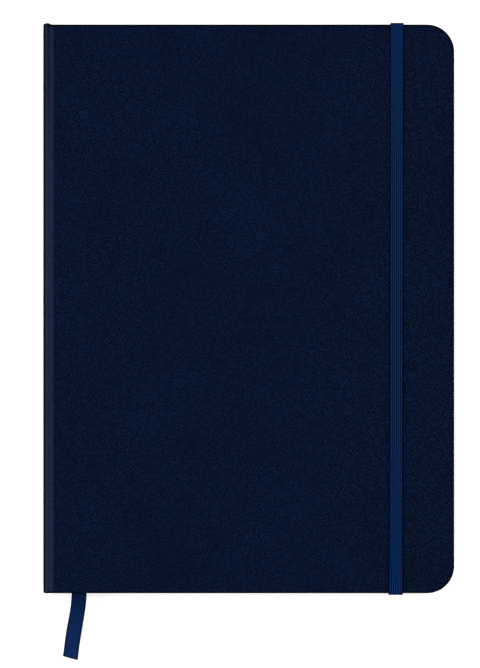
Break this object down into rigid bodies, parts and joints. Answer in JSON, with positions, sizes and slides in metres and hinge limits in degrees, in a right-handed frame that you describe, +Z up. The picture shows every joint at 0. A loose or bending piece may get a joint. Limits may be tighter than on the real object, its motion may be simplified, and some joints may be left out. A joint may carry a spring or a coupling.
{
  "type": "pilot logbook",
  "caption": "Hardback A5 logbook with rounded fore-edge corners, elastic closure band, ribbon marker, sewn page sections and covers that open.",
  "frame": {"origin": "under the middle of the closed book, on the surface that its back cover lies on", "axes": "+X towards the fore-edge, +Y towards the head, +Z up out of the front cover"},
  "size_m": [0.1546, 0.2397, 0.0185],
  "materials": {
    "cover_leather": "pebble grained, satin",
    "grey_board": "raw",
    "page_paper": "matt, uncoated",
    "end_paper": "matt, heavy",
    "kraft_paper": "matt, ribbed",
    "spine_cloth": "open weave",
    "band_cloth": "striped weave",
    "linen_thread": "twisted thread",
    "elastic_braid": "ribbed braid",
    "ribbon_satin": "satin weave"
  },
  "bodies": {
    "text_block": {"section_03": "page_paper", "section_04": "page_paper", "section_05": "page_paper", "section_06": "page_paper", "section_07": "page_paper", "section_08": "page_paper", "section_09": "page_paper", "section_10": "page_paper", "section_11": "page_paper", "section_12": "page_paper", "sewing_thread_1": "linen_thread", "sewing_thread_2": "linen_thread", "sewing_thread_3": "linen_thread", "sewing_thread_4": "linen_thread", "sewing_thread_5": "linen_thread", "spine_mull": "spine_cloth", "spine_liner": "kraft_paper", "head_band": "band_cloth", "tail_band": "band_cloth", "spine_inlay": "grey_board", "spine_skin": "cover_leather", "front_joint_skin": "cover_leather", "back_joint_skin": "cover_leather", "ribbon_marker": "ribbon_satin"},
    "front_cover": {"front_board": "grey_board", "front_skin": "cover_leather", "front_pastedown": "end_paper"},
    "front_flyleaf": {"front_flyleaf": "end_paper"},
    "section_01": {"section_01": "page_paper"},
    "section_02": {"section_02": "page_paper"},
    "back_cover": {"back_board": "grey_board", "back_skin": "cover_leather", "back_pastedown": "end_paper", "back_flyleaf": "end_paper", "elastic_head_anchor": "elastic_braid", "elastic_tail_anchor": "elastic_braid"},
    "elastic_legs": {"elastic_head_leg": "elastic_braid", "elastic_tail_leg": "elastic_braid"},
    "elastic_band": {"elastic_strand": "elastic_braid"}
  },
  "joints": [
    {"name": "front_cover_open", "type": "hinge", "parent": "text_block", "child": "front_cover", "pos_m": [-0.07352, 0, 0.01465], "axis": [0, -1, 0], "range_deg": [0, 180], "deforming": ["front_joint_skin"]},
    {"name": "front_flyleaf_turn", "type": "hinge", "parent": "text_block", "child": "front_flyleaf", "pos_m": [-0.07343, 0, 0.0145], "axis": [0, -1, 0], "range_deg": [0, 144]},
    {"name": "section_01_turn", "type": "hinge", "parent": "text_block", "child": "section_01", "pos_m": [-0.07311, 0, 0.01394], "axis": [0, -1, 0], "range_deg": [0, 32.4]},
    {"name": "section_02_turn", "type": "hinge", "parent": "text_block", "child": "section_02", "pos_m": [-0.07311, 0, 0.01306], "axis": [0, -1, 0], "range_deg": [0, 15.3]},
    {"name": "back_cover_open", "type": "hinge", "parent": "text_block", "child": "back_cover", "pos_m": [-0.07352, 0, 0.00311], "axis": [0, 1, 0], "range_deg": [0, 180], "deforming": ["back_joint_skin"]},
    {"name": "elastic_swing", "type": "hinge", "parent": "back_cover", "child": "elastic_legs", "pos_m": [0.06753, 0, 0.00888], "axis": [0, 1, 0], "range_deg": [0, 284.25], "deforming": ["elastic_head_leg", "elastic_tail_leg", "elastic_strand"]},
    {"name": "elastic_roll", "type": "hinge", "parent": "elastic_legs", "child": "elastic_band", "pos_m": [0.05563, 0, 0.01813], "axis": [0, -1, 0], "range_deg": [0, 104.3]}
  ],
  "couplings": [
    {"joint": "front_flyleaf_turn", "follows": "front_cover_open", "ratio": 0.8},
    {"joint": "section_01_turn", "follows": "front_cover_open", "ratio": 0.18},
    {"joint": "section_02_turn", "follows": "front_cover_open", "ratio": 0.085},
    {"joint": "elastic_roll", "follows": "elastic_swing", "ratio": 0.36675}
  ]
}
